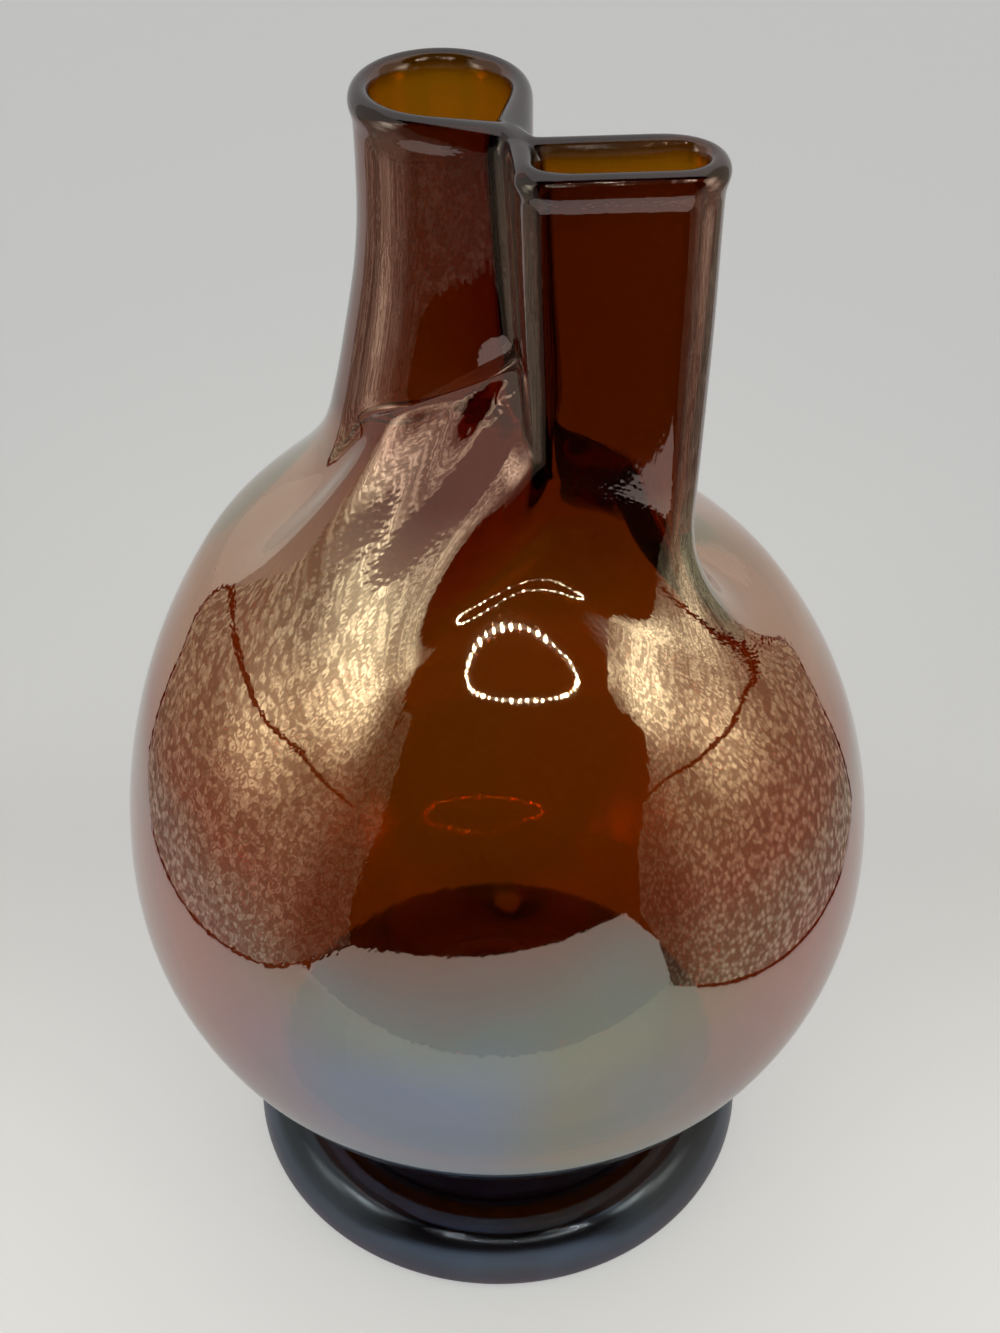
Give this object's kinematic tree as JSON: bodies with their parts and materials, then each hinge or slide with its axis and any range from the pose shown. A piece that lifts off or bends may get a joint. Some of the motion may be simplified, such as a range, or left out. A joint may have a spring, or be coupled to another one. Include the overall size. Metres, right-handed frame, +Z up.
{
  "type": "two-mouthed art glass vase",
  "caption": "Blown lustre glass vase: a round bulb on a ring foot, its neck pinched into two mouths, one round and one flattened, joined by an S-shaped lip.",
  "frame": {"origin": "on the table, under the centre of the foot", "axes": "+Z up through the mouths; +X towards the flattened mouth's side, -Y towards the pictured front"},
  "size_m": [0.1572, 0.1572, 0.255],
  "materials": {
    "vessel_glass": "amber glass with a metallic lustre skin",
    "lip_glass": "fire-polished amber glass",
    "foot_glass": "near-black amber glass with blue-grey lustre"
  },
  "bodies": {
    "root": {"body": "vessel_glass", "pinched_throat": "vessel_glass", "left_neck": "vessel_glass", "right_neck": "vessel_glass", "lip": "lip_glass", "foot_collar": "foot_glass", "foot_ring": "foot_glass"}
  },
  "joints": []
}
